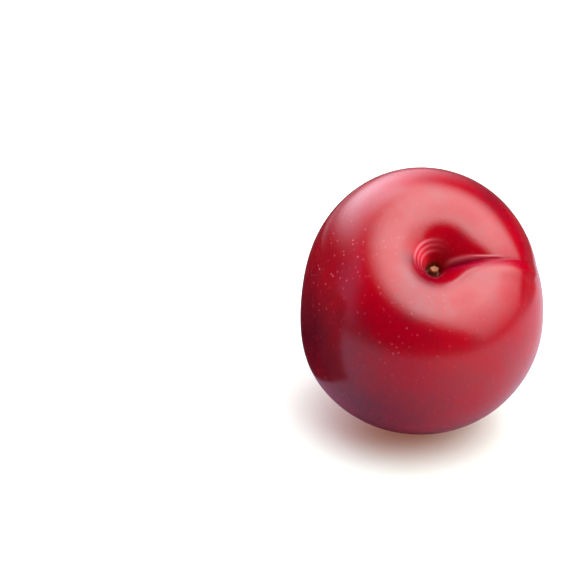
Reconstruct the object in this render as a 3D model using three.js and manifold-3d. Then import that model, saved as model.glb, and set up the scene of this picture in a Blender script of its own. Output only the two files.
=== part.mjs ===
// A ripe red plum, life size, lying on a table with its stem end turned up and towards the front.
// The fruit is one solid that grew as one piece: skin, flesh and stone. Its surface is a formula,
// a slightly flattened ball with a stem cavity, a suture down one side and broad uneven swells.
// The dry stub of the stem is a second piece, which stands in a small recess at the cavity's bottom.
// Millimetres, +Z up. The origin is the middle of the small flat spot that the plum rests on.
import * as THREE from "three";
import { mergeVertices } from "three/addons/utils/BufferGeometryUtils.js";
import Module from "manifold-3d";

const { clamp, degToRad, lerp, radToDeg, smoothstep } = THREE.MathUtils;

// Driving dimensions of the fruit's body. Lengths are radial, from its middle.
const MEAN_RADIUS = 30.6;
const CHEEK_FULLNESS = 1.7; // added in the middle of both cheeks
const SUTURE_FLATNESS = 1.8; // taken off along the suture and down the back
const STEM_END_FULLNESS = 0.6;
const APEX_DIMPLE = 0.7;
const APEX_DIMPLE_SPREAD = 11; // degrees

// Uneven growth: where each swell or flat lies, as degrees about the stem and degrees from it.
const SWELLS = [
  { about: 60, from: 64, height: 0.3, spread: 26 },
  { about: 104, from: 66, height: 0.3, spread: 26 },
  { about: 173, from: 93, height: -0.5, spread: 24 },
  { about: -150, from: 109, height: 0.9, spread: 24 },
  { about: -85, from: 115, height: -0.8, spread: 28 },
  { about: -22, from: 94, height: 0.8, spread: 24 },
];

// Stem cavity: a wide dish, a funnel in it that reaches out along the suture as a beak, and the
// funnel's narrow neck with the stem's recess at the bottom. Spreads and widths are degrees.
const DISH_DEPTH = 6.5;
const DISH_SPREAD = 26;
const FUNNEL_DEPTH = 7.5;
const FUNNEL_SPREAD = 11.5;
const FUNNEL_POWER = 1.6;
const BEAK_REACH = 1.0; // how much wider the funnel is towards the suture
const BEAK_GENTLE_WIDTH = 17;
const BEAK_STEEP_WIDTH = 13;
const NECK_DEPTH = 3.0;
const NECK_SPREAD = 7;
const STEM_SEAT_HEIGHT = 16.2; // the recess's level floor, above the fruit's middle
const RECESS_FLOOR = 1.55; // radius, mm
const RECESS_MOUTH = 2.0; // radius, mm

// Suture: a crease from the cavity over the shoulder, which fades into a shallow groove down the side.
// One cheek slopes gently down to a thin lip beside it, and the other bulges up from it as a lobe.
// Each pair is where, in degrees from the stem, something begins to change and where it is done.
const SUTURE_AT_CAVITY = 1; // degrees about the stem
const SUTURE_AT_WAIST = 16;
const SUTURE_TURNS = [20, 95];
const CREASE_DEPTH = 0.8;
const CREASE_FAR_WIDTH = 0.7;
const CREASE_NEAR_WIDTH = 1.3;
const CREASE_POWER = 1.2; // between a sharp fold, 1, and a rounded valley, 2
const CREASE_BEGINS = [8, 16];
const CREASE_OPENS = [35, 75];
const GROOVE_DEPTH = 0.3; // what the crease has become down the side
const GROOVE_WIDTH = 4.0;
const GROOVE_ENDS = [110, 175];
const LOBE_HEIGHT = 0.6;
const LOBE_AT_CAVITY = 3.8; // from the crease to the lobe's crest
const LOBE_AT_SHOULDER = 1.8;
const LOBE_NARROWS = [14, 30];
const LOBE_SPREAD = 0.7; // as a share of that distance
const LOBE_BEGINS = [10, 18];
const LOBE_ENDS = [40, 70];
const LIP_HEIGHT = 0.35;
const LIP_AT = 1.1;
const LIP_SPREAD = 0.4;
const LIP_BEGINS = [7, 11];
const LIP_ENDS = [14, 38];
const ROUND_TO_BACK = [0, 0.4]; // cosine of the turn away from the suture, where it no longer shows

// How the fruit lies.
const STEM_LEAN = 36.9; // degrees from upright
const STEM_HEADING = -78.7; // degrees, in the table's plane from +X
const FLAT_SPOT_DEPTH = 0.42; // how far the soft flesh gives under its weight

// The stem's stub: radius and height of its outline, from the bottom up, mm.
const STUB_OUTLINE = [
  [0, 0],
  [1.1, 0],
  [1.15, 0.5],
  [1.0, 1.2],
  [1.0, 1.9],
  [0.8, 2.25],
  [0.35, 2.1],
  [0, 2.05],
];
const STUB_SIDES = 14;
const SEAT_GAP = 0.3;

// Fineness of the surface, closer in the cavity and beside the suture.
const MERIDIANS = 84;
const RINGS = 40;
const RING_CROWDING = 1.5;
const MERIDIAN_CROWDING = 0.6;

const wasm = await Module();
wasm.setup();

function solidFrom(geometry) {
  return new wasm.Manifold(
    new wasm.Mesh({
      numProp: 3,
      vertProperties: new Float32Array(geometry.getAttribute("position").array),
      triVerts: new Uint32Array(geometry.index.array),
    }),
  );
}

function geometryFrom(solid) {
  const { vertProperties, triVerts } = solid.getMesh();
  const geometry = new THREE.BufferGeometry();
  geometry.setAttribute("position", new THREE.BufferAttribute(vertProperties, 3));
  geometry.setIndex(new THREE.BufferAttribute(triVerts, 1));
  geometry.computeVertexNormals();
  return geometry;
}

function withSharedVertices(geometry) {
  geometry.deleteAttribute("normal");
  geometry.deleteAttribute("uv");
  return mergeVertices(geometry);
}

// A bell curve: 1 at the middle, and 1/e at one spread from it.
function bell(distance, spread, power = 2) {
  return Math.exp(-(Math.abs(distance / spread) ** power));
}

// How far a change is done: 0 before the pair's first value, 1 past its second.
function done(value, [start, end]) {
  return smoothstep(value, start, end);
}

// A unit direction in the fruit's own frame, where +Z is the stem and +X is 0 degrees about it.
function direction(aboutStem, fromStem) {
  const across = Math.sin(fromStem);
  return new THREE.Vector3(
    across * Math.cos(aboutStem),
    across * Math.sin(aboutStem),
    Math.cos(fromStem),
  );
}

function swellHeight(towards) {
  return SWELLS.reduce((sum, { about, from, height, spread }) => {
    const middle = direction(degToRad(about), degToRad(from));
    return sum + height * bell(radToDeg(towards.angleTo(middle)), spread);
  }, 0);
}

// Where the suture runs about the stem: straight out of the cavity, then in a slow turn.
function sutureLine(fromStem) {
  const turned = done(radToDeg(fromStem), SUTURE_TURNS);
  return degToRad(lerp(SUTURE_AT_CAVITY, SUTURE_AT_WAIST, turned));
}

// The cavity's funnel. Towards the suture it runs out in a beak, steeper on the lobe's side.
function funnelDepth(down, turn) {
  const width = turn > 0 ? BEAK_GENTLE_WIDTH : BEAK_STEEP_WIDTH;
  const beak = BEAK_REACH * Math.exp(-Math.abs(radToDeg(turn)) / width);
  const funnel = FUNNEL_DEPTH * bell(down, FUNNEL_SPREAD * (1 + beak), FUNNEL_POWER);
  return funnel + NECK_DEPTH * bell(down, NECK_SPREAD);
}

// Depth of the suture's crease, less its lip and lobe, at a turn away from the suture's line.
function sutureDepth(radius, fromStem, turn) {
  const down = radToDeg(fromStem);
  const aside = radius * Math.sin(fromStem) * Math.sin(turn);
  const opened = done(down, CREASE_OPENS);
  const along = done(down, CREASE_BEGINS) * (1 - done(down, GROOVE_ENDS));
  const depth = lerp(CREASE_DEPTH, GROOVE_DEPTH, opened) * along;
  const narrow = aside > 0 ? CREASE_FAR_WIDTH : CREASE_NEAR_WIDTH;
  const valley = depth * bell(aside, lerp(narrow, GROOVE_WIDTH, opened), CREASE_POWER);
  const crest = lerp(LOBE_AT_CAVITY, LOBE_AT_SHOULDER, done(down, LOBE_NARROWS));
  const onShoulder = done(down, LOBE_BEGINS) * (1 - done(down, LOBE_ENDS));
  const lobe = LOBE_HEIGHT * bell(aside + crest, LOBE_SPREAD * crest) * onShoulder;
  const inCavity = done(down, LIP_BEGINS) * (1 - done(down, LIP_ENDS));
  const lip = LIP_HEIGHT * bell(aside - LIP_AT, LIP_SPREAD) * inCavity;
  return (valley - lobe - lip) * done(Math.cos(turn), ROUND_TO_BACK);
}

// Distance from the fruit's middle to its skin.
function skinRadius(fromStem, aboutStem) {
  const towards = direction(aboutStem, fromStem);
  const down = radToDeg(fromStem);
  const past = aboutStem - sutureLine(fromStem);
  const turn = Math.atan2(Math.sin(past), Math.cos(past));
  let radius = MEAN_RADIUS + CHEEK_FULLNESS * towards.y ** 2 - SUTURE_FLATNESS * towards.x ** 2;
  radius += STEM_END_FULLNESS * Math.max(towards.z, 0) ** 2;
  radius += swellHeight(towards);
  radius -= APEX_DIMPLE * bell(180 - down, APEX_DIMPLE_SPREAD);
  radius -= DISH_DEPTH * bell(down, DISH_SPREAD) + funnelDepth(down, turn);
  radius -= sutureDepth(radius, fromStem, turn);
  const offAxis = radius * Math.sin(fromStem);
  const inRecess = towards.z > 0 ? 1 - smoothstep(offAxis, RECESS_FLOOR, RECESS_MOUTH) : 0;
  return lerp(radius, STEM_SEAT_HEIGHT / Math.abs(towards.z), inRecess);
}

// The whole skin in the fruit's own frame: a sphere whose vertices are moved out to the formula.
function fruitGeometry() {
  const geometry = withSharedVertices(new THREE.SphereGeometry(1, MERIDIANS, RINGS));
  const points = geometry.getAttribute("position");
  const point = new THREE.Vector3();
  for (let i = 0; i < points.count; i++) {
    point.fromBufferAttribute(points, i);
    const evenly = Math.acos(clamp(point.y, -1, 1)) / Math.PI;
    const turn = Math.atan2(-point.z, point.x);
    const fromStem = Math.PI * evenly ** RING_CROWDING;
    const aboutStem = sutureLine(fromStem) + turn - MERIDIAN_CROWDING * Math.sin(turn);
    point.copy(direction(aboutStem, fromStem)).multiplyScalar(skinRadius(fromStem, aboutStem));
    points.setXYZ(i, point.x, point.y, point.z);
  }
  return geometry;
}

// How the fruit's frame is turned on the table: the stem leans, and 0 degrees about it stays towards +X.
function lyingTurn() {
  const lean = degToRad(STEM_LEAN);
  const heading = degToRad(STEM_HEADING);
  const stem = new THREE.Vector3(
    Math.sin(lean) * Math.cos(heading),
    Math.sin(lean) * Math.sin(heading),
    Math.cos(lean),
  );
  const right = new THREE.Vector3(1, 0, 0).addScaledVector(stem, -stem.x).normalize();
  const far = new THREE.Vector3().crossVectors(stem, right);
  return new THREE.Matrix4().makeBasis(right, far, stem);
}

// The lowest stretch of the turned skin is cut off level, which leaves the flat spot.
function restOnTable(geometry) {
  geometry.computeBoundingBox();
  const height = -geometry.boundingBox.min.z - FLAT_SPOT_DEPTH;
  geometry.translate(0, 0, height);
  const room = 4 * MEAN_RADIUS;
  const above = withSharedVertices(new THREE.BoxGeometry(room, room, room).translate(0, 0, room / 2));
  const cut = geometryFrom(solidFrom(geometry).intersect(solidFrom(above)));
  const spot = new THREE.Box3();
  const points = cut.getAttribute("position");
  for (let i = 0; i < points.count; i++) {
    if (Math.abs(points.getZ(i)) < 1e-4) {
      spot.expandByPoint(new THREE.Vector3().fromBufferAttribute(points, i));
    }
  }
  const middle = spot.getCenter(new THREE.Vector3());
  cut.translate(-middle.x, -middle.y, 0);
  return { cut, centre: new THREE.Vector3(-middle.x, -middle.y, height) };
}

function stubGeometry() {
  const outline = STUB_OUTLINE.map(([radius, height]) => new THREE.Vector2(radius, height));
  return new THREE.LatheGeometry(outline, STUB_SIDES).rotateX(Math.PI / 2);
}

const plum = new THREE.Group();

const turn = lyingTurn();
const { cut, centre } = restOnTable(fruitGeometry().applyMatrix4(turn));
const skin = new THREE.MeshStandardMaterial({ color: 0x9c0a1e, roughness: 0.3, metalness: 0 });
const fruit = new THREE.Mesh(cut, skin);
fruit.name = "plum_fruit";
plum.add(fruit);

// The stem end is a group of its own, so that the stub stands along the fruit's leaning axis.
const stemEnd = new THREE.Group();
stemEnd.setRotationFromMatrix(turn);
stemEnd.position.copy(centre);
plum.add(stemEnd);

const dryWood = new THREE.MeshStandardMaterial({ color: 0xa5703f, roughness: 0.8, metalness: 0 });
const stub = new THREE.Mesh(stubGeometry(), dryWood);
stub.name = "stem_stub";
stub.position.z = STEM_SEAT_HEIGHT + SEAT_GAP;
stemEnd.add(stub);

export default plum;
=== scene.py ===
# %% [markdown]
# # A ripe red plum in Blender
# The plum lies on a white table, with the end that its stem grew from turned up and towards us. It has two
# pieces: the fruit, which grew as one, and the short dry stub of its stem. The imported model gives their
# sizes and places. This lesson gives them a finer surface and their colours. The model stays the master, so
# its box gives the fine skin its place.

# %% Open the imported model
from math import acos, asin, atan2, cos, degrees, exp, pi, radians, sin

import bmesh
import bpy
from mathutils import Matrix, Vector, noise


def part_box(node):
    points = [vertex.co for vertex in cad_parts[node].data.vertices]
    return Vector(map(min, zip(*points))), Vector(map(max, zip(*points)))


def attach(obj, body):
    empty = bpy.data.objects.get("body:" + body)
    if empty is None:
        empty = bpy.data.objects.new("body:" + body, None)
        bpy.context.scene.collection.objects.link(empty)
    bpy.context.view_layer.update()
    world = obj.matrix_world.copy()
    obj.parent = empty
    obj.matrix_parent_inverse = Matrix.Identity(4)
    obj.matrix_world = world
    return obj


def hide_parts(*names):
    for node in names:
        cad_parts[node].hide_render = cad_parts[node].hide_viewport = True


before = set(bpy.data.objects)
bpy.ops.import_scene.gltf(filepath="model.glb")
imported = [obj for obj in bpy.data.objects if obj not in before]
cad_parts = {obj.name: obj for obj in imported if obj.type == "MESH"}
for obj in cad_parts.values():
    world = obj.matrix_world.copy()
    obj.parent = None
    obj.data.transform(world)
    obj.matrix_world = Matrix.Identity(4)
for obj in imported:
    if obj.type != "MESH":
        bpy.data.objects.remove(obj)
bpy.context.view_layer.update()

# %% [markdown]
# ## Shape of the fruit
# A plum grows round a single seam, its suture. The stem pulls one end in, so the skin folds down into a
# cavity there. We could sculpt this by hand, but a formula is easier to correct: it says how far the skin
# is from the middle of the fruit in each direction. An angle "from the stem" is 0 at the stem and 180 at
# the opposite end, the apex. An angle "about the stem" goes round the fruit, with 0 towards +X.
#
# The two cheeks are full, and the sides between them, with the suture on one, are flatter. No fruit is
# quite even, so low swells come on top. A swell's row gives its angle about the stem and from the stem, its
# height, and how many degrees it spreads.

# %% Dimensions of the body
MM = 0.001
MEAN_RADIUS = 30.6 * MM
CHEEK_FULLNESS = 1.7 * MM
SUTURE_FLATNESS = 1.8 * MM
STEM_END_FULLNESS = 0.6 * MM
APEX_DIMPLE = 0.7 * MM
APEX_DIMPLE_SPREAD = 11
SWELLS = [
    (60, 64, 0.3 * MM, 26),
    (104, 66, 0.3 * MM, 26),
    (173, 93, -0.5 * MM, 24),
    (-150, 109, 0.9 * MM, 24),
    (-85, 115, -0.8 * MM, 28),
    (-22, 94, 0.8 * MM, 24),
]

# %% [markdown]
# The cavity is three dents in one another: a wide dish, a funnel that reaches out along the suture like a
# beak, and the funnel's narrow neck. The beak is gentle on one side and steep on the other. The stub of the
# stem stands in a small recess at the bottom. Spreads and widths are in degrees.

# %% Dimensions of the stem cavity
DISH_DEPTH = 6.5 * MM
DISH_SPREAD = 26
FUNNEL_DEPTH = 7.5 * MM
FUNNEL_SPREAD = 11.5
FUNNEL_POWER = 1.6
BEAK_REACH = 1.0
BEAK_GENTLE_WIDTH = 17
BEAK_STEEP_WIDTH = 13
NECK_DEPTH = 3.0 * MM
NECK_SPREAD = 7
STEM_SEAT_HEIGHT = 16.2 * MM
RECESS_FLOOR = 1.55 * MM
RECESS_MOUTH = 2.0 * MM

# %% [markdown]
# The suture is a crease. One cheek slopes gently down to a thin lip at its edge, and the other bulges up
# from it as a lobe. Over the shoulder the crease grows faint and narrow, and at the waist it opens into a
# shallow groove that ends before the apex. Each pair of numbers says where, in degrees from the stem, a
# change begins and where it is done.

# %% Dimensions of the suture
SUTURE_AT_CAVITY = 3
SUTURE_AT_WAIST = 16
SUTURE_TURNS = (20, 95)
CREASE_DEPTH = 0.5 * MM
CREASE_WIDTH = 0.6 * MM
CREASE_POWER = 1.2
CREASE_BEGINS = (8, 16)
CREASE_FADES = (14, 29)
CREASE_FAINT = 0.1 * MM
CREASE_NARROWS = (15, 28)
CREASE_NARROWEST = 0.55
CREASE_OPENS = (38, 70)
GROOVE_DEPTH = 0.3 * MM
GROOVE_WIDTH = 4.0 * MM
GROOVE_ENDS = (110, 175)

# %% Dimensions of its lobe and its lip
LOBE_HEIGHT = 0.42 * MM
LOBE_AT_CAVITY = 3.8 * MM
LOBE_AT_SHOULDER = 3.0 * MM
LOBE_NARROWS = (14, 30)
LOBE_SPREAD = 0.7
LOBE_BEGINS = (10, 18)
LOBE_ENDS = (40, 70)
LIP_HEIGHT = 0.4 * MM
LIP_AT = 0.9 * MM
LIP_SPREAD = 0.5 * MM
LIP_BEGINS = (7, 11)
LIP_ENDS = (12, 36)

# %% [markdown]
# Faint growth rings run part of the way round the cavity's wall, where the skin puckered as the fruit
# swelled up round its stem. A ring's row gives its distance from the stem's axis, the middle of its arc
# about the stem, how many degrees the arc spreads, and its height.

# %% Dimensions of the growth rings
GROWTH_RINGS = [
    (5.3 * MM, 145, 40, 0.2 * MM),
    (4.4 * MM, 150, 45, 0.15 * MM),
    (3.5 * MM, 150, 50, 0.15 * MM),
    (2.6 * MM, -110, 60, 0.12 * MM),
]
GROWTH_RING_WIDTH = 0.22 * MM

# %% [markdown]
# Three small curves do all the shaping. A bell makes a dent or a swell with no edge. A smooth step fades
# one thing into another. A blend goes between two values. A fourth helper turns the two angles into a
# direction.


# %% Curves that shape the skin
def bell(distance, spread, power=2):
    """1 in the middle, and about a third at one spread from it."""
    return exp(-(abs(distance / spread) ** power))


def done(value, change):
    """How far a change is done: 0 before the pair's first value, 1 past its second."""
    start, end = change
    t = min(max((value - start) / (end - start), 0.0), 1.0)
    return t * t * (3 - 2 * t)


def blend(start, end, part):
    return start + (end - start) * part


def direction(about_stem, from_stem):
    """A unit direction in the fruit's own frame, where +Z is the stem."""
    across = sin(from_stem)
    return Vector((across * cos(about_stem), across * sin(about_stem), cos(from_stem)))


print("a bell at one spread:", round(bell(1, 1), 2), "and a change half done:", done(0.5, (0, 1)))

# %% [markdown]
# The suture doesn't run straight down: it leaves the cavity towards +X and turns slowly on its way to the
# apex. All that belongs to it is measured from this line: "turn" is the angle from it about the stem, and
# "aside" the distance. Its folds fade out before they would come round to the back of the fruit.


# %% Line of the suture
ROUND_TO_BACK = (0, 0.4)


def suture_line(from_stem):
    """Where the suture runs about the stem, in radians."""
    return radians(blend(SUTURE_AT_CAVITY, SUTURE_AT_WAIST, done(degrees(from_stem), SUTURE_TURNS)))


def turn_from_suture(from_stem, about_stem):
    return (about_stem - suture_line(from_stem) + pi) % (2 * pi) - pi


def on_suture_side(turn):
    return done(cos(turn), ROUND_TO_BACK)


# %% [markdown]
# The valley is the crease near the stem and the groove further down. The lobe lies on one side of it and
# the lip on the other. The lip keeps to the crease as that narrows.


# %% Depth of the suture
def narrowing(down):
    """How much of its width in the cavity the crease still has."""
    return blend(1, CREASE_NARROWEST, done(down, CREASE_NARROWS))


def lip_height(down, aside):
    in_cavity = done(down, LIP_BEGINS) * (1 - done(down, LIP_ENDS))
    return LIP_HEIGHT * bell(aside - LIP_AT * narrowing(down), LIP_SPREAD * narrowing(down)) * in_cavity


def lobe_height(down, aside):
    crest = blend(LOBE_AT_CAVITY, LOBE_AT_SHOULDER, done(down, LOBE_NARROWS))
    on_shoulder = done(down, LOBE_BEGINS) * (1 - done(down, LOBE_ENDS))
    return LOBE_HEIGHT * bell(aside + crest, LOBE_SPREAD * crest) * on_shoulder


def suture_depth(radius, from_stem, turn):
    """Depth of the valley, less its lobe and its lip."""
    down = degrees(from_stem)
    aside = radius * sin(from_stem) * sin(turn)
    opened = done(down, CREASE_OPENS)
    along = done(down, CREASE_BEGINS) * (1 - done(down, GROOVE_ENDS))
    crease = blend(CREASE_DEPTH, CREASE_FAINT, done(down, CREASE_FADES))
    depth = blend(crease, GROOVE_DEPTH, opened) * along
    width = blend(narrowing(down) * CREASE_WIDTH, GROOVE_WIDTH, opened)
    valley = depth * bell(aside, width, CREASE_POWER)
    return (valley - lobe_height(down, aside) - lip_height(down, aside)) * on_suture_side(turn)


print("crease at 20 degrees in mm:", round(1000 * suture_depth(MEAN_RADIUS, radians(20), 0), 2))

# %% [markdown]
# Patches on the fruit are told in the same way whether they swell it or darken it. A row gives the middle's
# angle about the stem and from the stem, how strong the patch is, and how many degrees it spreads. One
# helper adds the patches up for a direction.


# %% Patches on the fruit
def patches(rows):
    found = []
    for about, down, amount, spread in rows:
        found.append((direction(radians(about), radians(down)), amount, spread))
    return found


def sum_of(patch_list, towards):
    total = 0.0
    for middle, amount, spread in patch_list:
        away = degrees(acos(min(max(towards.dot(middle), -1.0), 1.0)))
        total += amount * bell(away, spread)
    return total


swells = patches(SWELLS)

# %% [markdown]
# Now the formula itself, from the body to the growth rings. The recess for the stub has a level floor, so
# it is put in last.


# %% How far the skin is from the middle
def cavity_depth(down, turn):
    width = BEAK_GENTLE_WIDTH if turn > 0 else BEAK_STEEP_WIDTH
    beak = BEAK_REACH * exp(-abs(degrees(turn)) / width)
    funnel = FUNNEL_DEPTH * bell(down, FUNNEL_SPREAD * (1 + beak), FUNNEL_POWER)
    return DISH_DEPTH * bell(down, DISH_SPREAD) + funnel + NECK_DEPTH * bell(down, NECK_SPREAD)


def growth_ring_height(off_axis, about_stem):
    total = 0.0
    for reach, middle, spread, height in GROWTH_RINGS:
        along_arc = (degrees(about_stem) - middle + 180) % 360 - 180
        total += height * bell(off_axis - reach, GROWTH_RING_WIDTH) * bell(along_arc, spread)
    return total


def skin_radius(from_stem, about_stem):
    towards = direction(about_stem, from_stem)
    down = degrees(from_stem)
    turn = turn_from_suture(from_stem, about_stem)
    radius = MEAN_RADIUS + CHEEK_FULLNESS * towards.y**2 - SUTURE_FLATNESS * towards.x**2
    radius += STEM_END_FULLNESS * max(towards.z, 0) ** 2 + sum_of(swells, towards)
    radius -= APEX_DIMPLE * bell(180 - down, APEX_DIMPLE_SPREAD) + cavity_depth(down, turn)
    radius -= suture_depth(radius, from_stem, turn)
    radius += growth_ring_height(radius * sin(from_stem), about_stem)
    in_recess = 1 - done(radius * sin(from_stem), (RECESS_FLOOR, RECESS_MOUTH))
    if towards.z > 0 and in_recess > 0:
        radius = blend(radius, STEM_SEAT_HEIGHT / towards.z, in_recess)
    return radius


print("skin at the waist in mm:", round(1000 * skin_radius(radians(90), radians(90)), 2))

# %% [markdown]
# ## Mesh of the skin
# We start from a ball and move each of its points out to the formula. The ball's rings are crowded towards
# the stem and its meridians towards the suture, because all the fine folds are there. The material will
# have to know where on the fruit it is, so each point also gets room for six numbers and for a direction.

# %% Move a ball's points out to the skin
MERIDIANS = 384
RINGS = 250
RING_CROWDING = 1.5
MERIDIAN_CROWDING = 0.75
# Four of these numbers carry painted light and shade for the colour: the crease's painted shade, the darker
# patches, which are painted shade besides the skin's own tone, a painted light spot in the cavity, and a
# painted highlight on the growth rings and the lip.
NUMBERS_KEPT = ("from_stem", "crease", "burgundy_and_shade", "painted_light_spot", "ridge_highlight", "dotted")
skin_mesh = bmesh.new()
bmesh.ops.create_uvsphere(skin_mesh, u_segments=MERIDIANS, v_segments=RINGS, radius=1)
layers = {name: skin_mesh.verts.layers.float.new(name) for name in NUMBERS_KEPT}
streak_layer = skin_mesh.verts.layers.float_vector.new("streaks")
skin_points = []
for vert in skin_mesh.verts:
    evenly = acos(min(max(vert.co.z, -1.0), 1.0)) / pi
    around = atan2(vert.co.y, vert.co.x)
    from_stem = pi * evenly**RING_CROWDING
    about_stem = suture_line(from_stem) + around - MERIDIAN_CROWDING * sin(around)
    radius = skin_radius(from_stem, about_stem)
    vert.co = direction(about_stem, from_stem) * radius
    skin_points.append((vert, from_stem, about_stem, radius))
print("skin:", len(skin_mesh.verts), "points,", len(skin_mesh.faces), "faces")

# %% [markdown]
# Some colours belong to the folds. The crease gets painted shade, a little to the lobe's side of its bottom.
# The growth rings and the lip get a paler painted highlight on all that stands up. A growth ring shows fully
# at a quarter of a millimetre of height, and the lip at one millimetre.

# %% Where the folds show
SHADE_AT = -0.8 * MM
SHADE_WIDTH = 1.5 * MM
SHADE_BEGINS = (6, 12)
SHADE_ENDS = (24, 55)
GROWTH_RING_SHOWS = 0.25 * MM
LIP_SHOWS = 1.0 * MM


def crease_shade(down, aside, turn):
    folded = done(down, SHADE_BEGINS) * (1 - done(down, SHADE_ENDS))
    return bell(aside - SHADE_AT, SHADE_WIDTH) * folded * on_suture_side(turn)


def highlighted_raised_edge(down, aside, turn, off_axis, about_stem):
    """Growth rings count on the stem's half alone, so that none is painted at the apex."""
    ring = growth_ring_height(off_axis, about_stem) / GROWTH_RING_SHOWS if down < 90 else 0
    return ring + lip_height(down, aside) / LIP_SHOWS * on_suture_side(turn)


# %% [markdown]
# The rest is told in patches. The burgundy rows are painted shade, all but the last two: on the upper side,
# round the cavity's rim and in it, under the highlight and low on the left as the camera sees it. The last
# two, on the back, are the skin's own deeper tone. A small orange pink spot on the cavity's wall is painted
# light.
# The pale dots crowd in three regions, and elsewhere only a few of them show.

# %% Where the patches are
BURGUNDY_AND_SHADE = [
    (60, 50, 0.55, 22),
    (60, 16, 0.2, 5),
    (-175, 16, 0.4, 5),
    (8, 52, 0.3, 16),
    (-120, 12, 0.65, 11),
    (-120, 42, 0.3, 22),
    (-155, 84, 0.85, 24),
    (-110, 86, 0.8, 20),
    (120, 112, 0.45, 28),
    (-50, 150, 0.4, 26),
]
# The orange pink spot on the cavity's wall is painted light.
PAINTED_LIGHT_SPOT = [(152, 9, 0.6, 4)]
DOTTED = [
    (-180, 52, 0.75, 22),
    (-110, 42, 0.3, 20),
    (110, 105, 0.6, 30),
]
FEWEST_DOTS = 0.09
burgundy_and_shade_patches = patches(BURGUNDY_AND_SHADE)
painted_light_spot_patches = patches(PAINTED_LIGHT_SPOT)
dotted_patches = patches(DOTTED)
print("patches of colour:", len(BURGUNDY_AND_SHADE), "burgundy,", len(PAINTED_LIGHT_SPOT), "orange,", len(DOTTED), "dotted")

# %% [markdown]
# Fine streaks run from the stem to the apex. A pattern has to be stretched along them, so each point keeps
# a place in a stretched space: there it moves much further when it goes round the fruit than when it goes
# down it.

# %% Store them on the mesh
STREAKS_ROUND = 34
STREAKS_ALONG = 1.6
for vert, from_stem, about_stem, radius in skin_points:
    towards = direction(about_stem, from_stem)
    down = degrees(from_stem)
    off_axis = radius * sin(from_stem)
    turn = turn_from_suture(from_stem, about_stem)
    aside = off_axis * sin(turn)
    vert[layers["from_stem"]] = down
    vert[layers["crease"]] = crease_shade(down, aside, turn)
    # The darker patches are burgundy and painted shade, and the orange spot is painted light.
    vert[layers["burgundy_and_shade"]] = sum_of(burgundy_and_shade_patches, towards)
    vert[layers["painted_light_spot"]] = sum_of(painted_light_spot_patches, towards)
    vert[layers["ridge_highlight"]] = highlighted_raised_edge(down, aside, turn, off_axis, about_stem)
    vert[layers["dotted"]] = FEWEST_DOTS + sum_of(dotted_patches, towards)
    around_stem = Vector((cos(about_stem), sin(about_stem), 0)) * STREAKS_ROUND
    vert[streak_layer] = around_stem + Vector((0, 0, from_stem * STREAKS_ALONG))
print("numbers kept at", len(skin_points), "points")

# %% [markdown]
# ## Laying it down
# The stem end leans towards us. A ripe plum is soft, so it flattens a little where it rests: we lower it by
# less than half a millimetre and press what would be under the table level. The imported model's box says
# where the fruit lies, so the fine skin is moved until its top, sides, front and back meet that box.

# %% Turn it on the table
STEM_LEAN = 36.9
STEM_HEADING = -78.7
lean = radians(STEM_LEAN)
heading = radians(STEM_HEADING)
stem_way = Vector((sin(lean) * cos(heading), sin(lean) * sin(heading), cos(lean)))
right_way = (Vector((1, 0, 0)) - stem_way * stem_way.x).normalized()
far_way = stem_way.cross(right_way)
lying_turn = Matrix((right_way, far_way, stem_way)).transposed().to_4x4()
bmesh.ops.transform(skin_mesh, matrix=lying_turn, verts=skin_mesh.verts)

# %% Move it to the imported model's place
box_low, box_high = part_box("plum_fruit")
centre = Vector((0, 0, box_high[2] - max(vert.co.z for vert in skin_mesh.verts)))
for axis in (0, 1):
    ours = [vert.co[axis] for vert in skin_mesh.verts]
    centre[axis] = (box_low[axis] + box_high[axis] - min(ours) - max(ours)) / 2
bmesh.ops.translate(skin_mesh, vec=centre, verts=skin_mesh.verts)
pressed = [vert for vert in skin_mesh.verts if vert.co.z < 0]
for vert in pressed:
    vert.co.z = 0
print("middle of the fruit in mm:", [round(1000 * value, 2) for value in centre])
print("points pressed level:", len(pressed))


# %% [markdown]
# Each finished mesh becomes an object at the origin, with its place in its points, and the packed node it
# stands for is hidden.


# %% Make an object of a mesh
def finish_piece(mesh, name, node):
    for face in mesh.faces:
        face.smooth = True
    data = bpy.data.meshes.new(name)
    mesh.to_mesh(data)
    mesh.free()
    piece = bpy.data.objects.new(name, data)
    bpy.context.scene.collection.objects.link(piece)
    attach(piece, "root")
    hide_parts(node)
    print(name, "has", len(data.polygons), "faces")
    return piece


plum_skin = finish_piece(skin_mesh, "plum_skin", "plum_fruit")

# %% [markdown]
# ## Stub of the stem
# The stem broke off when the plum was picked, and left a stub two millimetres thick. A cylinder would look
# sawn off, so its outline is drawn as points and spun round the stem's own axis. A row gives a point's
# distance from the axis and its height, in millimetres, up the side, over the rim and into the hollow end.

# %% Spin the stub
STUB_STEPS = 40
STUB_OUTLINE = [
    (0, 0),
    (1.1, 0),
    (1.15, 0.5),
    (1.05, 0.85),
    (1.0, 1.2),
    (0.98, 1.6),
    (0.97, 1.9),
    (0.9, 2.15),
    (0.76, 2.22),
    (0.58, 2.1),
    (0.35, 1.98),
    (0, 1.95),
]
SAME_POINT = 0.001 * MM
stub_mesh = bmesh.new()
outline = [stub_mesh.verts.new((radius * MM, 0, height * MM)) for radius, height in STUB_OUTLINE]
edges = [stub_mesh.edges.new(pair) for pair in zip(outline, outline[1:])]
bmesh.ops.spin(
    stub_mesh,
    geom=outline + edges,
    cent=(0, 0, 0),
    axis=(0, 0, 1),
    angle=2 * pi,
    steps=STUB_STEPS,
    use_merge=True,
)
bmesh.ops.remove_doubles(stub_mesh, verts=stub_mesh.verts, dist=SAME_POINT)
bmesh.ops.recalc_face_normals(stub_mesh, faces=stub_mesh.faces)
print("stub:", len(stub_mesh.verts), "points")

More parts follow.
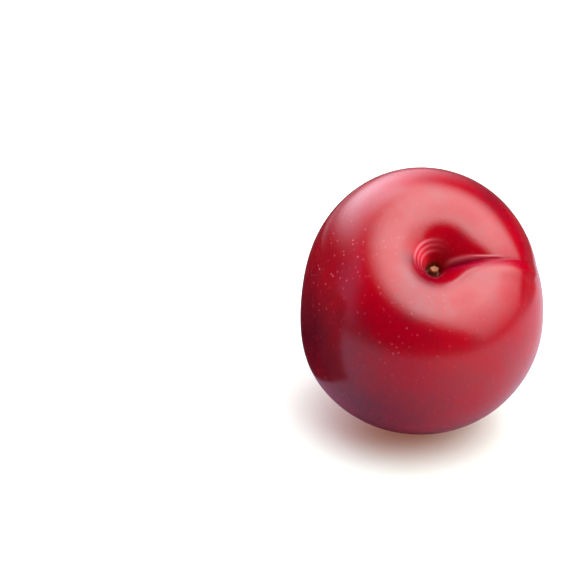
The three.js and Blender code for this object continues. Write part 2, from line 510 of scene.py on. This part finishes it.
# %% [markdown]
# A broken, dried end isn't round or level. Noise pushes the side in and out, more towards the top, and
# roughens the tip, and the end is higher on one side than on the other. Each point first keeps its height
# and a place in a space that is short along the stub, so that the fibres in it come out long.

# %% Roughen its broken end
STUB_TOP = 2.2 * MM
FIBRE_SQUEEZE = 0.12
LUMP_SIZE = 0.55 * MM
LUMP_PUSH = 0.14
STUB_SLANT = 0.55
TIP_BEGINS = (0.6, 1.0)
TIP_LUMP_SIZE = 0.35 * MM
TIP_LUMP_HEIGHT = 0.3 * MM
fibre_layer = stub_mesh.verts.layers.float_vector.new("streaks")
height_layer = stub_mesh.verts.layers.float.new("height")
for vert in stub_mesh.verts:
    up = vert.co.z / STUB_TOP
    ring = Vector((vert.co.x, vert.co.y, 0))
    vert[fibre_layer] = Vector((vert.co.x, vert.co.y, FIBRE_SQUEEZE * vert.co.z)) / MM
    vert[height_layer] = up
    push = noise.noise(vert.co / LUMP_SIZE)
    vert.co += ring * push * LUMP_PUSH * up
    vert.co.z -= STUB_SLANT * vert.co.y * up**2
    vert.co.z += noise.noise(vert.co / TIP_LUMP_SIZE) * TIP_LUMP_HEIGHT * done(up, TIP_BEGINS)

# %% [markdown]
# The stub stands in the recess with a hair's breadth of air round it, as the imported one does, and it is
# turned and moved exactly as the fruit was.

# %% Stand it in the recess
SEAT_GAP = 0.3 * MM
bmesh.ops.translate(stub_mesh, vec=(0, 0, STEM_SEAT_HEIGHT + SEAT_GAP), verts=stub_mesh.verts)
bmesh.ops.transform(stub_mesh, matrix=Matrix.Translation(centre) @ lying_turn, verts=stub_mesh.verts)
stem_end = finish_piece(stub_mesh, "stem_end", "stem_stub")


# %% [markdown]
# ## Tools for the materials
# A material is a small net of nodes. One helper adds a node and fills its sockets, each with a plain value
# or with another node's output. The Mix node has sockets for every kind of value, so its colours go by
# their numbers.


# %% Helpers that add nodes
def fill(tree, socket, value):
    if isinstance(value, bpy.types.NodeSocket):
        tree.links.new(value, socket)
    else:
        socket.default_value = value


def add_node(tree, kind, sockets=None, **settings):
    node = tree.nodes.new(kind)
    for name, value in settings.items():
        setattr(node, name, value)
    for name, value in (sockets or {}).items():
        fill(tree, node.inputs[name], value)
    return node


def new_material(name):
    material = bpy.data.materials.new(name)
    material.use_nodes = True
    return material, material.node_tree, material.node_tree.nodes["Principled BSDF"]


# %% Helpers that work on values and colours
MIX_PART = 0
MIX_FIRST = 6
MIX_SECOND = 7
MIX_RESULT = 2


def ranged(tree, value, change, result=(0.0, 1.0)):
    """Fades from the result's first number to its second while the value goes through the change."""
    sockets = {"Value": value, "From Min": change[0], "From Max": change[1]}
    sockets.update({"To Min": result[0], "To Max": result[1]})
    return add_node(tree, "ShaderNodeMapRange", sockets, interpolation_type="SMOOTHSTEP").outputs["Result"]


def sum_or_product(tree, operation, first, second):
    return add_node(tree, "ShaderNodeMath", {0: first, 1: second}, operation=operation).outputs[0]


def mixed_colour(tree, part, first, second):
    """Blends two colours. Part 0 gives the first and part 1 the second."""
    node = add_node(tree, "ShaderNodeMix", {MIX_PART: part}, data_type="RGBA")
    for index, colour in ((MIX_FIRST, first), (MIX_SECOND, second)):
        fill(tree, node.inputs[index], (*colour, 1) if isinstance(colour, tuple) else colour)
    return node.outputs[MIX_RESULT]


# %% [markdown]
# Both finishes need noise, an attribute of the mesh and a fine relief, so each has a helper too. A relief is
# laid over another one when that one's output is handed in as what is under it.


# %% Helpers for patterns and reliefs
def attribute(tree, name, output="Fac"):
    return add_node(tree, "ShaderNodeAttribute", attribute_name=name).outputs[output]


def noise_pattern(tree, where, scale, detail, roughness):
    sockets = {"Vector": where, "Scale": scale, "Detail": detail, "Roughness": roughness}
    return add_node(tree, "ShaderNodeTexNoise", sockets).outputs["Fac"]


def relief(tree, height, strength, distance, under=None):
    sockets = {"Height": height, "Strength": strength, "Distance": distance}
    if under:
        sockets["Normal"] = under
    return add_node(tree, "ShaderNodeBump", sockets).outputs["Normal"]


# %% [markdown]
# ## Skin: where the patterns come from
# Four patterns lie over each other on a plum's skin: cloudy mottling some 15 mm across, fine streaks from
# the stem to the apex, a fine grain of pores, and small pale dots, the lenticels that it breathed through.
# All but the streaks read the object's own coordinates. The streaks and the places of the colours read what
# was stored on the mesh, so they stay with the fruit however it is turned.

# %% Patterns of the skin
MOTTLES_PER_METRE = 75
GRAINS_PER_METRE = 1400
skin, skin_tree, skin_shader = new_material("plum_skin")
place = add_node(skin_tree, "ShaderNodeTexCoord").outputs["Object"]
from_stem_now, crease_shade_now, burgundy_and_shade_now, painted_light_spot_now, ridge_highlight_now, dotted_now = (
    attribute(skin_tree, name) for name in NUMBERS_KEPT
)
streak_way = attribute(skin_tree, "streaks", "Vector")
mottling = noise_pattern(skin_tree, place, MOTTLES_PER_METRE, detail=4, roughness=0.6)
streaks = noise_pattern(skin_tree, streak_way, scale=1, detail=3, roughness=0.6)
grain = noise_pattern(skin_tree, place, GRAINS_PER_METRE, detail=2, roughness=0.5)

# %% [markdown]
# The core of a lenticel is 0.4 mm across and its edge fades out, and they are one or two millimetres apart.
# A Voronoi texture scatters points in space. Where the skin passes close by one, the distance to it is
# small, and that is a dot. Each point has a colour by chance, and we read its red as how bold the dot is.

# %% Lenticels
LENTICELS_PER_METRE = 680
LENTICEL_EDGE = 0.42 * MM
BOLDNESS = (0.0, 0.7)
points = add_node(skin_tree, "ShaderNodeTexVoronoi", {"Vector": place, "Scale": LENTICELS_PER_METRE})
chance = add_node(skin_tree, "ShaderNodeSeparateXYZ", {0: points.outputs["Color"]}).outputs["X"]
dots = ranged(skin_tree, points.outputs["Distance"], (LENTICEL_EDGE * LENTICELS_PER_METRE, 0))
lenticels = sum_or_product(skin_tree, "MULTIPLY", dots, ranged(skin_tree, chance, BOLDNESS))
dots_seen = sum_or_product(skin_tree, "MULTIPLY", lenticels, dotted_now)
print("a lenticel fades out at", round(2000 * LENTICEL_EDGE, 2), "mm across")

# %% [markdown]
# ## Skin: its colour
# Under the gloss the skin is a deep clean red, a little brighter down in the cavity, where no sun reached.
# The patches turn it to burgundy and darken it with painted shade, and one paints a spot of orange pink
# light.
# Mottling and streaks shift the edge of the darker patches, so it looks cloudy and brushed, as it does on
# the fruit. A noise hardly ever leaves its middle values, so only a span of them is used.

# %% Red, burgundy, painted shade and painted light of the skin
BRIGHT_RED = (0.275, 0.0, 0.006)
BURGUNDY_AND_SHADE_RED = (0.1, 0.0, 0.008)
CAVITY_RED = (0.32, 0.0, 0.006)
PAINTED_LIGHT_ORANGE = (0.62, 0.02, 0.03)
CAVITY_BEGINS = (20, 11)
MOTTLING_SPAN = (0.35, 0.65)
NOISE_SPAN = (0.3, 0.7)
CLOUDS_DARKEN = (-0.16, 0.16)
LINES_DARKEN = (-0.07, 0.07)
clouds = ranged(skin_tree, mottling, MOTTLING_SPAN, CLOUDS_DARKEN)
lines = ranged(skin_tree, streaks, NOISE_SPAN, LINES_DARKEN)
uneven = sum_or_product(skin_tree, "ADD", clouds, lines)
deepness = sum_or_product(skin_tree, "ADD", burgundy_and_shade_now, uneven)
colour = mixed_colour(skin_tree, ranged(skin_tree, from_stem_now, CAVITY_BEGINS), BRIGHT_RED, CAVITY_RED)
colour = mixed_colour(skin_tree, deepness, colour, BURGUNDY_AND_SHADE_RED)
colour = mixed_colour(skin_tree, painted_light_spot_now, colour, PAINTED_LIGHT_ORANGE)

# %% [markdown]
# The details come on top: growth rings and lip get a pink painted highlight, the crease a purple painted
# shade, the recess round the stub is brown, partly corky skin and partly painted shade, and the lenticels
# are a pale pink.

# %% Colour of its details
RIDGE_HIGHLIGHT_PINK = (0.7, 0.16, 0.2)
CREASE_SHADE_RED = (0.24, 0.0, 0.02)
# The brown round the stub is partly corky skin and partly painted shade in the recess.
CORK_AND_SHADE_BROWN = (0.2, 0.025, 0.012)
LENTICEL_PINK = (0.55, 0.09, 0.14)
CREASE_SHADE_TINT = (0.0, 0.75)
CORK_AND_SHADE_BEGINS = (6.6, 5.4)
colour = mixed_colour(skin_tree, ridge_highlight_now, colour, RIDGE_HIGHLIGHT_PINK)
colour = mixed_colour(skin_tree, ranged(skin_tree, crease_shade_now, (0.0, 1.0), CREASE_SHADE_TINT), colour, CREASE_SHADE_RED)
colour = mixed_colour(skin_tree, ranged(skin_tree, from_stem_now, CORK_AND_SHADE_BEGINS), colour, CORK_AND_SHADE_BROWN)
colour = mixed_colour(skin_tree, dots_seen, colour, LENTICEL_PINK)
skin_tree.links.new(colour, skin_shader.inputs["Base Color"])

# %% [markdown]
# ## Skin: its gloss
# A thin layer of wax makes the skin shine softly. Hands rub it to a gloss on the outside. Down in the
# cavity nothing rubs, so the wax stays a dull bloom there. It is also cloudy and a little streaky, so the
# gloss varies with the mottling and the streaks, and the lenticels are dull.

# %% Gloss of the skin
WAX_ROUGHNESS = (0.15, 0.22)
DOT_DULLNESS = 0.2
SKIN_IOR = 1.5
BLOOM_BEGINS = (15.5, 12)
RUBBED_TO_BLOOMED = (0.5, 0.12)
CLOUDY_WAX = (0.8, 1.15)
STREAKY_WAX = (0.93, 1.07)
waxy = ranged(skin_tree, mottling, NOISE_SPAN, WAX_ROUGHNESS)
dull_dots = sum_or_product(skin_tree, "MULTIPLY", dots_seen, DOT_DULLNESS)
rougher = sum_or_product(skin_tree, "ADD", waxy, dull_dots)
skin_tree.links.new(rougher, skin_shader.inputs["Roughness"])
skin_shader.inputs["IOR"].default_value = SKIN_IOR
bloomed = ranged(skin_tree, from_stem_now, BLOOM_BEGINS, RUBBED_TO_BLOOMED)
cloudy_wax = ranged(skin_tree, mottling, MOTTLING_SPAN, CLOUDY_WAX)
streaky_wax = ranged(skin_tree, streaks, NOISE_SPAN, STREAKY_WAX)
wax = sum_or_product(skin_tree, "MULTIPLY", cloudy_wax, streaky_wax)
shine = sum_or_product(skin_tree, "MULTIPLY", bloomed, wax)
skin_tree.links.new(shine, skin_shader.inputs["Specular IOR Level"])

# %% [markdown]
# ## Skin: its relief
# The lenticels stand up a little, which makes the edge of a highlight sparkle. Pores make it finely rough,
# and the streaks are drawn in it very lightly. All of this is a few hundredths of a millimetre high, far
# too fine for the mesh.

# %% Relief of the skin
raised_dots = relief(skin_tree, dots_seen, strength=0.5, distance=0.05 * MM)
pores = relief(skin_tree, grain, strength=0.5, distance=0.035 * MM, under=raised_dots)
fine_lines = relief(skin_tree, streaks, strength=0.2, distance=0.015 * MM, under=pores)
skin_tree.links.new(fine_lines, skin_shader.inputs["Normal"])
plum_skin.data.materials.append(skin)
print("the skin's material has", len(skin_tree.nodes), "nodes")

# %% [markdown]
# ## Stub: dry wood
# The stub is dry, matt and fibrous. Its fibres run along it. Its broken end is paler than its side, partly
# its own colour and partly painted light, and its foot is darker with painted shade.

# %% Wood of the stub
WOOD_DARK = (0.13, 0.04, 0.013)
WOOD_PALE = (0.34, 0.13, 0.055)
WOOD_ROUGHNESS = 0.75
BROKEN_END = (0.55, 1.0)
END_LIGHT_AND_FOOT_SHADE = (-0.35, 0.35)
wood, wood_tree, wood_shader = new_material("dry_stem")
fibre_way = attribute(wood_tree, "streaks", "Vector")
stub_height = attribute(wood_tree, "height")
fibres = noise_pattern(wood_tree, fibre_way, scale=5, detail=4, roughness=0.65)
lit_end_and_shaded_foot = ranged(wood_tree, stub_height, BROKEN_END, END_LIGHT_AND_FOOT_SHADE)
paleness = sum_or_product(wood_tree, "ADD", ranged(wood_tree, fibres, NOISE_SPAN), lit_end_and_shaded_foot)
wood_colour = mixed_colour(wood_tree, paleness, WOOD_DARK, WOOD_PALE)
wood_tree.links.new(wood_colour, wood_shader.inputs["Base Color"])
wood_shader.inputs["Roughness"].default_value = WOOD_ROUGHNESS
fibre_relief = relief(wood_tree, fibres, strength=0.7, distance=0.1 * MM)
wood_tree.links.new(fibre_relief, wood_shader.inputs["Normal"])
stem_end.data.materials.append(wood)
print("the stub's material has", len(wood_tree.nodes), "nodes")

# %% [markdown]
# ## Camera
# The picture was taken from 28 degrees above the table, from half a metre away. The fruit is right of the
# middle of the frame. The camera isn't turned towards it, but set aside, so uprights stay upright. The
# Standard view shows the reds as they are, where Blender's usual one would make them paler.

# %% Camera
IMAGE_SIZE = 580
PIXELS_PER_MM = 4.19
PLUM_ACROSS = 420.3
PLUM_DOWN = 303.0
CAMERA_ELEVATION = 28
CAMERA_DISTANCE = 500 * MM
SENSOR_WIDTH = 36
elevation = radians(CAMERA_ELEVATION)
camera_up = Vector((0, sin(elevation), cos(elevation)))
camera_back = Vector((0, -cos(elevation), sin(elevation)))
right_of_middle = (PLUM_ACROSS - IMAGE_SIZE / 2) / PIXELS_PER_MM * MM
below_middle = (PLUM_DOWN - IMAGE_SIZE / 2) / PIXELS_PER_MM * MM
aim = centre - Vector((right_of_middle, 0, 0)) + below_middle * camera_up
camera_data = bpy.data.cameras.new("camera")
camera_data.sensor_width = SENSOR_WIDTH
camera_data.lens = SENSOR_WIDTH * CAMERA_DISTANCE / (IMAGE_SIZE / PIXELS_PER_MM * MM)
camera = bpy.data.objects.new("camera", camera_data)
camera.location = aim + camera_back * CAMERA_DISTANCE
camera.rotation_euler = (pi / 2 - elevation, 0, 0)
bpy.context.scene.collection.objects.link(camera)
bpy.context.scene.camera = camera
bpy.context.scene.view_settings.view_transform = "Standard"
print("lens in mm:", round(camera_data.lens, 1))


# %% [markdown]
# ## Table
# The table is white and so well lit that it melts into the backdrop, and only a warm soft shadow shows
# under the fruit. In the fruit's gloss it is a softer grey with painted shade: it darkens with distance and
# is darker on the left than on the right. A Light Path node tells the two apart, so one plane does both.


# %% Make something of the studio
def stage_object(name, mesh, material):
    data = bpy.data.meshes.new(name)
    mesh.to_mesh(data)
    mesh.free()
    data.materials.append(material)
    thing = bpy.data.objects.new(name, data)
    bpy.context.scene.collection.objects.link(thing)
    return thing


def sheet_between(name, corners, material):
    mesh = bmesh.new()
    mesh.faces.new([mesh.verts.new(corner) for corner in corners])
    return stage_object(name, mesh, material)


# %% White of the table
TABLE_SEEN = (0.59, 0.72, 0.7)
TABLE_IN_GLOSS_SHADED_LEFT = (0.24, 0.2, 0.3)
TABLE_IN_GLOSS_RIGHT = (0.38, 0.32, 0.37)
FADES_AWAY = (0.13, 0.36)
FADES_TO = (1.0, 0.1)
LEFT_TO_RIGHT = (-0.02, 0.06)
table_white, table_tree, table_shader = new_material("table_white")
light_path = add_node(table_tree, "ShaderNodeLightPath")
table_place = add_node(table_tree, "ShaderNodeTexCoord").outputs["Object"]
away = add_node(table_tree, "ShaderNodeVectorMath", {0: table_place}, operation="LENGTH").outputs["Value"]
gloss_shade_with_distance = ranged(table_tree, away, FADES_AWAY, FADES_TO)
across_table = add_node(table_tree, "ShaderNodeSeparateXYZ", {0: table_place}).outputs["X"]
to_right = ranged(table_tree, across_table, LEFT_TO_RIGHT)
gloss_colour = mixed_colour(table_tree, to_right, TABLE_IN_GLOSS_SHADED_LEFT, TABLE_IN_GLOSS_RIGHT)
in_gloss = add_node(table_tree, "ShaderNodeVectorMath", {0: gloss_colour, "Scale": gloss_shade_with_distance}, operation="SCALE")
seen_in_gloss = light_path.outputs["Is Glossy Ray"]
table_colour = mixed_colour(table_tree, seen_in_gloss, TABLE_SEEN, in_gloss.outputs[0])
table_tree.links.new(table_colour, table_shader.inputs["Base Color"])

# %% [markdown]
# The shadow under the fruit isn't grey: red light comes through and off the skin. A faint warm glow that
# only the camera sees stands for it, and it doesn't light the fruit.

# %% Lay the table
SHADOW_WARMTH = (0.21, 0.055, 0.02)
TABLE_ROUGHNESS = 0.7
TABLE_GLOSS = 0.1
TABLE_HALF = 1.4
TABLE_CORNERS = [(x * TABLE_HALF, y * TABLE_HALF, 0) for x, y in ((-1, -1), (1, -1), (1, 1), (-1, 1))]
table_shader.inputs["Roughness"].default_value = TABLE_ROUGHNESS
table_shader.inputs["Specular IOR Level"].default_value = TABLE_GLOSS
table_shader.inputs["Emission Color"].default_value = (*SHADOW_WARMTH, 1)
table_tree.links.new(light_path.outputs["Is Camera Ray"], table_shader.inputs["Emission Strength"])
sheet_between("table", TABLE_CORNERS, table_white)
print("table in metres:", 2 * TABLE_HALF)

# %% [markdown]
# Black cards lie on the table left of the fruit and behind it, and a low one stands at its left.
# Photographers use them to darken a side of a glossy thing. They show only in the gloss: the camera doesn't
# see them and they cast no shadow.

# %% Black cards
CARD_LIFT = 1.2 * MM
CARD_BLACK = (0.01, 0.006, 0.006)
LEFT_CARD = [(-0.54, -0.02), (-0.04, -0.02), (-0.04, 0.54), (-0.54, 0.54)]
BACK_CARD = [(-0.04, 0.17), (0.2, 0.04), (0.6, 0.04), (0.6, 0.63), (-0.04, 0.63)]
SIDE_CARD = [(-0.042, -0.025, 0), (-0.012, 0.075, 0), (-0.012, 0.075, 0.046), (-0.042, -0.025, 0.046)]
black, _, black_shader = new_material("black_card")
black_shader.inputs["Base Color"].default_value = (*CARD_BLACK, 1)
left_corners = [(x, y, CARD_LIFT) for x, y in LEFT_CARD]
back_corners = [(x, y, CARD_LIFT) for x, y in BACK_CARD]
for name, corners in (("left_card", left_corners), ("back_card", back_corners), ("side_card", SIDE_CARD)):
    card = sheet_between(name, corners, black)
    card.visible_camera = False
    card.visible_diffuse = False
    card.visible_shadow = False
    print(name, "has", len(corners), "corners")

# %% [markdown]
# ## Light
# The fruit lies in a light tent, a dome of white cloth that is lit from outside. A glossy skin shows the
# tent, so the tent's bright parts are the highlights. Square lamps would show their corners in the gloss,
# and cloth fades out gently.
#
# A broad part overhead reaches down to the right and makes the curved highlight round the cavity. It is
# told by where a line of sight meets a level ceiling, and its front and back edges run askew over that. A
# part behind gives the lilac gleam on the upper left, and its foot rises towards the left. A low spot
# straight behind and a faint purple strip on the left finish the gloss. Headings and heights are in degrees.

# %% Brightness of the tent
OVERHEAD = 5.7
OVERHEAD_LEFT = (-0.8, 0.15)
OVERHEAD_FRONT = (-1.32, -0.36)
OVERHEAD_BACK = (0.12, 1.32)
OVERHEAD_HEIGHTS = (-6, 54)
FRONT_SKEW = 0.7
BACK_SKEW = 0.12
REAR = 3.7
REAR_HEADING = -24
REAR_SPREAD_LEFT = 40
REAR_SPREAD_RIGHT = 26
REAR_FOOT = (-6, 18)
REAR_FOOT_SKEW = 0.6
REAR_TOP = (44, 68)
STRIP = 0.65
STRIP_HEADING = -95
STRIP_SPREAD = 14
STRIP_TOP = (40, 60)
HORIZON = 0.8
HORIZON_SPREAD = 10
HORIZON_TOP = (3, 12)

# %% [markdown]
# One function each gives the brightness of the part overhead and of the part behind, and a third puts all
# of them together. A heading is 0 straight behind the fruit and 90 on its right.

# %% How bright the tent is in a direction
NEARLY_LEVEL = 0.05


def overhead_glow(way, height):
    across = way.x / max(way.z, NEARLY_LEVEL)
    back = way.y / max(way.z, NEARLY_LEVEL)
    dimmest, brightest = OVERHEAD_HEIGHTS
    overhead = OVERHEAD * done(across, OVERHEAD_LEFT)
    overhead *= min((height - dimmest) / (brightest - dimmest), 1)
    overhead *= done(back + FRONT_SKEW * across, OVERHEAD_FRONT)
    return overhead * (1 - done(back - BACK_SKEW * across, OVERHEAD_BACK))


def rear_glow(heading, height):
    aside = heading - REAR_HEADING
    rear = REAR * bell(aside, REAR_SPREAD_LEFT if aside < 0 else REAR_SPREAD_RIGHT)
    rise = REAR_FOOT_SKEW * min(aside, 0)
    return rear * (done(height + rise, REAR_FOOT) * (1 - done(height, REAR_TOP)))


def tent_glow(way):
    """The white, the lilac and the purple light that come from a direction."""
    height = degrees(asin(way.z))
    heading = degrees(atan2(way.x, way.y))
    horizon = HORIZON * bell(heading, HORIZON_SPREAD) * (1 - done(height, HORIZON_TOP))
    strip = STRIP * bell(heading - STRIP_HEADING, STRIP_SPREAD) * (1 - done(height, STRIP_TOP))
    return overhead_glow(way, height), rear_glow(heading, height) + horizon, strip


print("the tent straight above:", round(tent_glow(Vector((0, 0, 1)))[0], 2))

# %% [markdown]
# The tent is half a ball, and each of its points stores its own brightness as a colour. It lights the fruit
# and shows in its gloss, but the camera looks through it.

# %% Tent
TENT_RADIUS = 1.5
TENT_MERIDIANS = 144
TENT_RINGS = 72
TENT_FOOT = -0.01
TENT_LILAC = (1, 0.93, 1.07)
TENT_PURPLE = (1, 0.75, 1.3)
tent_mesh = bmesh.new()
bmesh.ops.create_uvsphere(tent_mesh, u_segments=TENT_MERIDIANS, v_segments=TENT_RINGS, radius=TENT_RADIUS)
below = [vert for vert in tent_mesh.verts if vert.co.z < TENT_FOOT]
bmesh.ops.delete(tent_mesh, geom=below, context="VERTS")
glow_layer = tent_mesh.verts.layers.float_color.new("glow")
for vert in tent_mesh.verts:
    white, lilac, purple = tent_glow(vert.co.normalized())
    red, green, blue = (white + lilac * one + purple * other for one, other in zip(TENT_LILAC, TENT_PURPLE))
    vert[glow_layer] = (red, green, blue, 1)

# %% Cloth of the tent
cloth, cloth_tree, cloth_shader = new_material("tent_cloth")
cloth_shader.inputs["Base Color"].default_value = (0, 0, 0, 1)
cloth_shader.inputs["Roughness"].default_value = 1
cloth_shader.inputs["Specular IOR Level"].default_value = 0
cloth_shader.inputs["Emission Strength"].default_value = 1
cloth_tree.links.new(attribute(cloth_tree, "glow", "Color"), cloth_shader.inputs["Emission Color"])
tent = stage_object("tent", tent_mesh, cloth)
tent.visible_camera = False
print("the tent has", len(tent.data.polygons), "faces")

# %% [markdown]
# Two fill lamps brighten the fruit's colour from in front and from the left. They don't show in the gloss.
# A lamp is told by its radiance, the brightness of its face, because that stays the same when its size
# changes. Radiance times pi times its area is its power.


# %% Fill lamps
FILL_TARGET = (0, 0, 0.03)


def fill_lamp(name, position, size, radiance):
    data = bpy.data.lights.new(name, "AREA")
    data.shape = "RECTANGLE"
    data.size, data.size_y = size
    data.energy = radiance * pi * size[0] * size[1]
    lamp = bpy.data.objects.new(name, data)
    lamp.location = position
    way = Vector(FILL_TARGET) - Vector(position)
    lamp.rotation_euler = way.to_track_quat("-Z", "Y").to_euler()
    bpy.context.scene.collection.objects.link(lamp)
    lamp.visible_glossy = False
    print(name, "gives", round(data.energy, 2), "watts")


fill_lamp("front_fill", position=(0.6, -0.65, 0.15), size=(0.9, 0.4), radiance=0.8)
fill_lamp("left_fill", position=(-0.7, 0.35, 0.2), size=(0.8, 0.4), radiance=1.7)

# %% [markdown]
# The backdrop is white where the camera looks at it, and it gives no light.

# %% Backdrop
world = bpy.data.worlds.new("studio")
world.use_nodes = True
bpy.context.scene.world = world
studio = world.node_tree
seen_by_camera = add_node(studio, "ShaderNodeLightPath").outputs["Is Camera Ray"]
studio.links.new(seen_by_camera, studio.nodes["Background"].inputs["Strength"])
studio.nodes["Background"].inputs["Color"].default_value = (1, 1, 1, 1)
